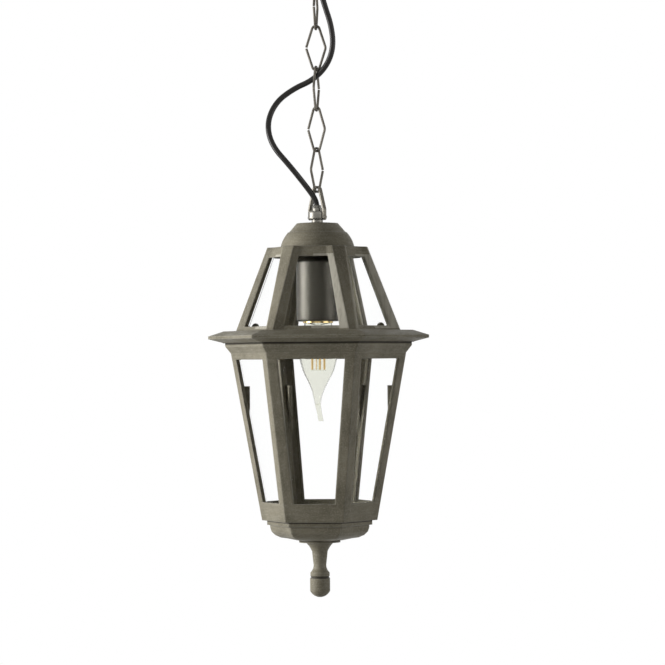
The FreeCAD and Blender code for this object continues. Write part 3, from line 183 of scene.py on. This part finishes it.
def make_bands(name, levels):
    """A mask that is 1 between each of these pairs of heights."""
    tree, _, made = node_group(name, {}, {"Mask": number_socket})
    height = axes_on(tree)["Z"]
    mask = 0.0
    for low, high in levels:
        inside = joined(tree, "COMPARE", height, (low + high) / 2, (high - low) / 2)
        mask = joined(tree, "MAXIMUM", mask, inside)
    feed(tree, made, mask=mask)
    return tree


def make_painted_lit_side(low, high):
    """A mask for one bevel of each of the roof's ribs, which stand on the hexagon's corners; it
    lays a painted highlight there.
    """
    corner_turn = math.radians(60)
    crest_half_width = (0.0035, 0.006)
    tree, _, made = node_group("rubbed_side", {}, {"Mask": number_socket})
    x, y, z = axes_on(tree)
    azimuth = joined(tree, "ARCTAN2", y, x)
    off_corner = joined(tree, "WRAP", azimuth, corner_turn / 2, -corner_turn / 2)
    squares = joined(tree, "ADD", joined(tree, "MULTIPLY", x, x), joined(tree, "MULTIPLY", y, y))
    reach = joined(tree, "SQRT", squares)
    offset = joined(tree, "MULTIPLY", joined(tree, "SINE", off_corner), reach)
    crest = spread(tree, z, (low, high), crest_half_width)
    past_crest = joined(tree, "LESS_THAN", joined(tree, "ADD", offset, crest), 0.0)
    on_rib = grouped(tree, make_bands("rib_height", [(low, high)])).outputs["Mask"]
    feed(tree, made, mask=joined(tree, "MULTIPLY", past_crest, on_rib))
    return tree


mottle = make_mottle()
edge_wear = make_edge_wear()


def make_cast_paint():
    """Olive-grey paint, brushed along each member and rubbed at its edges, with a painted highlight
    on one bevel of each roof rib and painted shade under the eave and in the grooves.
    """
    paint_dark, paint_mid = (0.153, 0.137, 0.095, 1), (0.273, 0.2485, 0.183, 1)
    # The darkest tone is a painted shade for the bands under the eave and in the grooves.
    paint_pale, painted_shade_tone = (0.51, 0.482, 0.398, 1), (0.035, 0.031, 0.023, 1)
    ribs, posts = (-0.346, -0.281), (-0.498, -0.378)
    under_eave, over_step = (-0.3592, -0.35755), (-0.5152, -0.51405)
    finial_foot, finial_groove = (-0.5325, -0.53185), (-0.5652, -0.5631)
    plain_streak, pale_streaks, dark_streaks = 0.45, 0.13, 0.18
    speck_span, specks = (0.48, 0.72), 0.45
    # The side values here set the painted highlight on one bevel of each rib.
    edge_rub, lit_side_span, lit_side_share, painted_shade_share = 0.75, (0.1, 0.6), (0.6, 1.0), 0.85
    material, tree, shader = finish("cast_paint", metallic=0.0, specular_ior_level=0.14)
    cloud = grouped(tree, mottle, scale=26.0, grain=1000.0)
    along = grouped(tree, mottle, scale=330.0, grain=800.0, stretch=0.14).outputs["Patches"]
    across = grouped(tree, mottle, scale=70.0, grain=130.0, stretch=7.0).outputs["Patches"]
    edges = grouped(tree, edge_wear, radius=0.0015)
    rounded = grouped(tree, edge_wear, radius=0.0028)
    upright = grouped(tree, make_bands("upright_members", [ribs, posts])).outputs["Mask"]
    streaks = add(tree, "ShaderNodeMix", factor=upright, a=across, b=along).outputs[0]
    ground = mixed(tree, cloud.outputs["Patches"], paint_dark, paint_mid)
    for share, tone in (
        (spread(tree, streaks, (plain_streak, 1.0), (0.0, pale_streaks)), paint_pale),
        (spread(tree, streaks, (plain_streak, 0.0), (0.0, dark_streaks)), paint_dark),
        (spread(tree, cloud.outputs["Grain"], speck_span, (0.0, specks)), paint_pale),
    ):
        ground = mixed(tree, share, ground, tone)
    # Painted highlight: one bevel of each roof rib is lightened, broken up by the streaks; the pale
    # mix below holds both this and the edge wear.
    lit_side = grouped(tree, make_painted_lit_side(*ribs)).outputs["Mask"]
    lit_side = joined(tree, "MULTIPLY", lit_side, spread(tree, along, lit_side_span, lit_side_share))
    edge = joined(tree, "MULTIPLY", edges.outputs["Mask"], edge_rub)
    worn = mixed(tree, joined(tree, "MAXIMUM", edge, lit_side), ground, paint_pale)
    # Painted shade: dark bands under the eave, over the bowl's step and at the finial's foot and
    # groove.
    painted_shade_bands = make_bands("painted_shade_bands", [under_eave, over_step, finial_foot, finial_groove])
    painted_shade = joined(tree, "MULTIPLY", grouped(tree, painted_shade_bands).outputs["Mask"], painted_shade_share)
    feed(tree, shader, base_color=mixed(tree, painted_shade, worn, painted_shade_tone),
         roughness=spread(tree, streaks, off_to_on, (0.54, 0.44)))
    roughened(tree, shader, cloud.outputs["Grain"], strength=0.16, depth=0.0003,
              normal=rounded.outputs["Normal"])
    return material


cast_paint = make_cast_paint()
dress(cast_paint, "ceiling_canopy")

# Eye bolt, washer and nut: bent steel rod with a rolled eye, zinc plated under the canopy.
# The bolt goes through the canopy's foot and its nut sits on a washer inside.
grain_span = (0.3, 0.7)
fine_depth = 0.0002


def make_plate(name, dark, pale, worn, rough, patches, grain, stretch=1.0, metallic=1.0,
               wear=0.0004, rounding=0.0, relief=0.0):
    """Plated metal in two close tones, worn along its edges, with an uneven gloss."""
    material, tree, shader = finish(name, metallic=metallic)
    cloud = grouped(tree, mottle, scale=patches, grain=grain, stretch=stretch)
    edges = grouped(tree, edge_wear, radius=wear)
    ground = mixed(tree, cloud.outputs["Patches"], dark, pale)
    feed(tree, shader, base_color=mixed(tree, edges.outputs["Mask"], ground, worn),
         roughness=spread(tree, cloud.outputs["Grain"], grain_span, rough))
    normal = None
    if rounding:
        normal = grouped(tree, edge_wear, radius=rounding).outputs["Normal"]
        feed(tree, shader, normal=normal)
    if relief:
        roughened(tree, shader, cloud.outputs["Grain"], relief, fine_depth, normal)
    return material


wire_steel = make_plate(
    "wire_steel", dark=(0.075, 0.068, 0.056, 1), pale=(0.15, 0.138, 0.116, 1),
    worn=(0.28, 0.265, 0.235, 1), rough=(0.34, 0.52), patches=120.0, grain=1500.0,
    metallic=0.75, relief=0.1)
zinc_plate = make_plate(
    "zinc_plate", dark=(0.24, 0.236, 0.22, 1), pale=(0.36, 0.355, 0.335, 1),
    worn=(0.5, 0.5, 0.48, 1), rough=(0.28, 0.44), patches=220.0, grain=1800.0,
    rounding=0.0004)
dress(wire_steel, "canopy_hook")
dress(zinc_plate, "hook_nut", "hook_washer")

# Cord gland and terminal block: moulded plastic pieces in the canopy.
# The gland is pushed into the canopy's foot beside the bolt.
# The block lies on the canopy's floor above it.
white = (1.0, 1.0, 1.0, 1)


def make_moulding(name, dark, pale, rough, texture, patches=60.0, relief=0.05, gloss=0.5,
                  sheen=white):
    """Moulded plastic with a fine spark texture and slightly uneven gloss."""
    material, tree, shader = finish(name, metallic=0.0, specular_ior_level=gloss,
                                    specular_tint=sheen)
    cloud = grouped(tree, mottle, scale=patches, grain=texture)
    feed(tree, shader, base_color=mixed(tree, cloud.outputs["Patches"], dark, pale),
         roughness=spread(tree, cloud.outputs["Patches"], off_to_on, rough))
    roughened(tree, shader, cloud.outputs["Grain"], relief, fine_depth)
    return material


gland_moulding = make_moulding(
    "gland_moulding", dark=(0.012, 0.012, 0.012, 1), pale=(0.022, 0.022, 0.022, 1),
    rough=(0.42, 0.52), texture=2400.0)
block_moulding = make_moulding(
    "block_moulding", dark=(0.68, 0.66, 0.6, 1), pale=(0.76, 0.74, 0.69, 1),
    rough=(0.3, 0.4), texture=1800.0)
dress(gland_moulding, "cord_gland")
dress(block_moulding, "terminal_block")

# Chain: five diamond links of bent steel wire, each with a butt joint at one side corner.
# They hang in each other, with the first in the bolt's eye.
dress(wire_steel, *(f"chain_link_{number}" for number in range(1, 6)))

# Bail, pins, collar and cord ferrule: bent strip and turned brass, nickel plated, with fine
# turning marks. The bail swings on two steel pins in the collar, and the ferrule is screwed
# into the collar's top.
turning_marks = {"rough": (0.26, 0.42), "patches": 90.0, "grain": 500.0, "stretch": 9.0,
                 "wear": 0.0005, "relief": 0.08}
dull_nickel = make_plate(
    "dull_nickel", dark=(0.07, 0.064, 0.052, 1), pale=(0.125, 0.117, 0.099, 1),
    worn=(0.26, 0.248, 0.22, 1), rounding=0.0005, **turning_marks)
satin_nickel = make_plate(
    "satin_nickel", dark=(0.135, 0.128, 0.111, 1), pale=(0.222, 0.212, 0.189, 1),
    worn=(0.38, 0.371, 0.344, 1), rounding=0.0025, **turning_marks)
dress(dull_nickel, "bail")
dress(satin_nickel, "collar", "cord_ferrule")
dress(wire_steel, "bail_pins")

# Supply cord: a round black flexible lead of 5 mm, from the canopy's gland to the ferrule on the
# collar. It hangs beside the chain and goes through the third link; it is cut into seven stretches.
cord_width = 0.005
cord_route = [
    (4, -15, -27), (4, -15, -43), (8.5, -11.8, -61), (14.6, -8.6, -80), (16.2, -7, -99),
    (9.8, -4, -115.2), (-3.5, 0.9, -127), (-20, 2.8, -133.6), (-36, 1, -145.5),
    (-43.5, -4, -164), (-39, -10.5, -184), (-22.4, -14, -203), (-11.6, -5.2, -217.2),
    (-4.2, -1.75, -227.3), (-1.4, -0.65, -232.4), (0, 0, -238.1), (0, 0, -245.4),
]
cord_cuts = [0.037, 0.074, 0.111, 0.148, 0.185, 0.222]
route_steps, tube_steps = 16, 5
sheath = make_moulding(
    "cord_sheath", dark=(0.009, 0.0075, 0.0058, 1), pale=(0.016, 0.0135, 0.0105, 1),
    rough=(0.24, 0.32), texture=2200.0, patches=160.0, relief=0.06, gloss=0.27)


def open_spline(name, kind, points):
    """An object with one open spline through or along these points."""
    curve = bpy.data.curves.new(name, "CURVE")
    curve.dimensions = "3D"
    spline = curve.splines.new(kind)
    spline.points.add(len(points) - 1)
    for knot, point in zip(spline.points, points):
        knot.co = (*point, 1.0)
    return bpy.data.objects.new(name, curve), spline


def mesh_of(line):
    """The mesh that a curve gives; the curve's object goes."""
    scene.collection.objects.link(line)
    bpy.context.view_layer.update()
    shown = line.evaluated_get(bpy.context.evaluated_depsgraph_get())
    mesh = bpy.data.meshes.new_from_object(shown)
    bpy.data.objects.remove(line)
    return mesh


guide, guide_spline = open_spline(
    "cord_guide", "NURBS", [tuple(mm / 1000 for mm in point) for point in cord_route])
guide_spline.order_u = 3
guide_spline.use_endpoint_u = True
guide.data.resolution_u = route_steps
guide_mesh = mesh_of(guide)
cord_line = [vertex.co.copy() for vertex in guide_mesh.vertices]
bpy.data.meshes.remove(guide_mesh)
run = [0.0]
for first, second in zip(cord_line, cord_line[1:]):
    run.append(run[-1] + (second - first).length)


def nearest(distance):
    """The number of the cord's point that lies nearest to this distance along it."""
    return min(range(len(run)), key=lambda index: abs(run[index] - distance))


ends = [0] + [nearest(cut) for cut in cord_cuts] + [len(cord_line) - 1]
for number, (first, last) in enumerate(zip(ends, ends[1:]), start=1):
    stretch = cord_line[first:last + 1]
    tube, _ = open_spline(f"cord_stretch_{number}_line", "POLY", stretch)
    tube.data.bevel_depth = cord_width / 2
    tube.data.bevel_resolution = tube_steps
    tube.data.use_fill_caps = True
    mesh = mesh_of(tube)
    mesh.name = f"cord_stretch_{number}"
    mesh.materials.clear()
    mesh.materials.append(sheath)
    mesh.shade_smooth()
    piece = bpy.data.objects.new(f"cord_stretch_{number}", mesh)
    scene.collection.objects.link(piece)
    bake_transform(piece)
    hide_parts("supply_cord")

# Nipple, washer and lock nut: plated tube and stamped steel parts.
# The tube goes through the dome and holds collar, roof and lamp holder together.
dress(satin_nickel, "threaded_nipple")
dress(zinc_plate, "dome_washer", "lock_nut")

# Roof: one casting with a dome, a hexagon band, six ribs and a broad eave.
# Painted as the rest of the body; the lock nut draws it up under the collar.
dress(cast_paint, "roof_frame")

# Panes: twelve trapeziums of clear drawn glass, with a slow waviness in it.
# They are bonded behind the windows of the roof and of the cage.


def make_clear(name, tint, shade, ior, wave, ripple):
    """Thin clear glass that lets lamps through; gives it with its tree and its shader."""
    wave_span, gloss, ripple_depth = (0.3, 0.7), (0.0, 0.012), 0.001
    material, tree, shader = finish(name, base_color=tint, transmission_weight=1.0, ior=ior,
                                    metallic=0.0)
    slow = add(tree, "ShaderNodeTexNoise", vector=place_on(tree), scale=wave, detail=1.0)
    feed(tree, shader, roughness=spread(tree, slow.outputs["Fac"], wave_span, gloss))
    roughened(tree, shader, slow.outputs["Fac"], ripple, ripple_depth)
    path = add(tree, "ShaderNodeLightPath").outputs
    lamp_ray = joined(tree, "MAXIMUM", path["Is Shadow Ray"], path["Is Diffuse Ray"])
    show(tree, lamp_ray, shader, add(tree, "ShaderNodeBsdfTransparent", color=shade))
    return material, tree, shader


def show(tree, share, shader, second):
    """Let a material show one shader, and another by a share."""
    either = tree.nodes.new("ShaderNodeMixShader")
    for socket, link in zip(either.inputs, (share, shader.outputs[0], second.outputs[0])):
        plug(tree, socket, link)
    surface = next(node for node in tree.nodes if node.type == "OUTPUT_MATERIAL")
    feed(tree, surface, surface=either.outputs[0])


pane_glass, _, _ = make_clear(
    "pane_glass", tint=(0.998, 1.0, 0.999, 1), shade=(0.93, 0.935, 0.93, 1), ior=1.04,
    wave=14.0, ripple=0.015)
dress(pane_glass, *(f"{part}_pane_{number}" for part in ("roof", "body") for number in range(1, 7)))

# Roof studs and dome nuts: plated studs through the lugs in two corners of the roof, under
# painted nuts. They hold the roof down on the cage.
dress(zinc_plate, "roof_studs")
dress(cast_paint, "roof_dome_nuts")

# Lamp holder: charcoal satin moulding in two parts, cap and shell, with a glazed ceramic insert
# and a brass contact. The cap screws onto the nipple, and the shell onto the cap.


def make_flecked(name, dark, pale, rough, patches, grain, **constants):
    """A finish in two close tones with an uneven gloss."""
    material, tree, shader = finish(name, **constants)
    cloud = grouped(tree, mottle, scale=patches, grain=grain)
    feed(tree, shader, base_color=mixed(tree, cloud.outputs["Patches"], dark, pale),
         roughness=spread(tree, cloud.outputs["Grain"], grain_span, rough))
    return material


brass = make_flecked(
    "rolled_brass", dark=(0.62, 0.44, 0.18, 1), pale=(0.8, 0.62, 0.3, 1), rough=(0.18, 0.34),
    patches=150.0, grain=1600.0, metallic=1.0)
holder_moulding = make_moulding(
    "holder_moulding", dark=(0.0195, 0.018, 0.0133, 1), pale=(0.027, 0.025, 0.019, 1),
    rough=(0.42, 0.52), texture=350.0, relief=0.01, gloss=0.58, sheen=(1.0, 0.94, 0.8, 1))
glazed_ceramic = make_moulding(
    "glazed_ceramic", dark=(0.66, 0.64, 0.58, 1), pale=(0.74, 0.72, 0.67, 1),
    rough=(0.18, 0.28), texture=700.0)
dress(holder_moulding, "lampholder_cap", "lampholder_shell")
dress(glazed_ceramic, "lampholder_insert")
dress(brass, "lampholder_contact")

# Bulb: a clear blown envelope with a bent tip, darker where its walls lie close together there,
# and a rolled brass screw cap with a soldered contact. Inside is a glass stem with four coated
# filaments on a wire ring.
bulb_tint, tip_tint = (0.885, 0.888, 0.842, 1), (0.783, 0.789, 0.709, 1)
tip_from, tip_full = -0.411, -0.4138
bulb_glass, bulb_tree, bulb_shader = make_clear(
    "bulb_glass", tint=bulb_tint, shade=(0.9, 0.9, 0.87, 1), ior=1.08, wave=30.0, ripple=0.02)
in_tip = spread(bulb_tree, axes_on(bulb_tree)["Z"], (tip_from, tip_full), off_to_on)
feed(bulb_tree, bulb_shader, base_color=mixed(bulb_tree, in_tip, bulb_tint, tip_tint))
dull_solder = make_flecked(
    "dull_solder", dark=(0.36, 0.36, 0.36, 1), pale=(0.5, 0.5, 0.5, 1), rough=(0.35, 0.55),
    patches=400.0, grain=2500.0, metallic=0.9)
# The filaments' amber coat is given a faint painted glow; the bulb holds no lamp.
amber_coat = make_flecked(
    "amber_coat", dark=(0.88, 0.6, 0.24, 1), pale=(0.95, 0.74, 0.38, 1), rough=(0.45, 0.65),
    patches=300.0, grain=2500.0, metallic=0.0, emission_color=(1.0, 0.68, 0.3, 1),
    emission_strength=0.4)
dress(bulb_glass, "bulb_glass", "bulb_stem")
dress(brass, "bulb_cap")
dress(dull_solder, "bulb_contact")
dress(amber_coat, "bulb_filaments")

# Cage, bowl and finial: castings in the same paint. The cage has a cornice, six tapering posts
# with a web inside each, a sill and a skirt. The bowl is let into its foot, and the finial's
# stud draws both together against a zinc plated nut on the floor.
dress(cast_paint, "lantern_cage", "base_bowl", "finial")
dress(zinc_plate, "finial_nut")

# Studio: a pale paper floor well under the lantern, seen from above only, and a white surround.
# One broad soft lamp stands at the left, and a weak one at the right.
floor_height, floor_half = -1.0, 2.2
floor_shine, air_fill = 0.85, 0.07
lantern_middle = (0, 0, -0.4)
floor_mesh = bpy.data.meshes.new("studio_floor")
sheet = bmesh.new()
bmesh.ops.create_grid(sheet, x_segments=1, y_segments=1, size=floor_half,
                      matrix=Matrix.Translation((0, 0, floor_height)))
sheet.to_mesh(floor_mesh)
sheet.free()
floor = bpy.data.objects.new("studio_floor", floor_mesh)
scene.collection.objects.link(floor)


def seen_rays(tree):
    """1 for the rays that show a thing: from the camera, or off or through another surface."""
    path = add(tree, "ShaderNodeLightPath").outputs
    either = joined(tree, "MAXIMUM", path["Is Camera Ray"], path["Is Glossy Ray"])
    return joined(tree, "MAXIMUM", either, path["Is Transmission Ray"])


floor_paper, floor_tree, floor_shader = finish(
    "floor_paper", roughness=0.9, base_color=(0.3, 0.3, 0.3, 1), emission_color=white)
floor_glow = spread(floor_tree, seen_rays(floor_tree), off_to_on, (0.0, floor_shine))
feed(floor_tree, floor_shader, emission_strength=floor_glow)
from_below = add(floor_tree, "ShaderNodeNewGeometry").outputs["Backfacing"]
show(floor_tree, from_below, floor_shader, add(floor_tree, "ShaderNodeBsdfTransparent"))
floor_mesh.materials.append(floor_paper)

world = bpy.data.worlds.new("studio")
scene.world = world
world.use_nodes = True
air = world.node_tree
surround = next(node for node in air.nodes if node.type == "BACKGROUND")
feed(air, surround, color=white,
     strength=spread(air, seen_rays(air), off_to_on, (air_fill, 1.0)))


def lamp(name, place, width, height, watts):
    """A soft rectangular lamp that faces the lantern."""
    light = bpy.data.lights.new(name, "AREA")
    light.shape = "RECTANGLE"
    light.size = width
    light.size_y = height
    light.energy = watts
    stand = bpy.data.objects.new(name, light)
    facing = (Vector(place) - Vector(lantern_middle)).to_track_quat("Z", "Y")
    stand.matrix_world = Matrix.Translation(place) @ facing.to_matrix().to_4x4()
    scene.collection.objects.link(stand)


lamp("left_softbox", place=(-1.85, -0.42, -0.2), width=1.3, height=1.3, watts=47.5)
lamp("right_fill", place=(1.9, -0.56, -0.25), width=1.5, height=1.1, watts=9.2)

# Camera: level with the cage's top, a little to the right of the front face, with a long lens
# and a slight roll. The lens grows with the distance, so that the lantern keeps its size.
camera_turn, camera_roll = math.radians(5.5), math.radians(-0.45)
camera_distance, camera_height = 2.5, -0.3776
lens_per_metre = 61.5
photo_camera = bpy.data.cameras.new("photo_camera")
photo_camera.lens = lens_per_metre * camera_distance
photo_camera.sensor_width = 36
photo_camera.shift_x = 0.0212
photo_camera.shift_y = 0.0489
camera = bpy.data.objects.new("photo_camera", photo_camera)
camera_place = Vector((math.sin(camera_turn), -math.cos(camera_turn), 0)) * camera_distance
camera_place.z = camera_height
camera.matrix_world = (Matrix.Translation(camera_place) @ Matrix.Rotation(camera_turn, 4, "Z")
                       @ Matrix.Rotation(math.pi / 2, 4, "X")
                       @ Matrix.Rotation(camera_roll, 4, "Z"))
scene.collection.objects.link(camera)
scene.camera = camera
scene.view_settings.view_transform = "Standard"
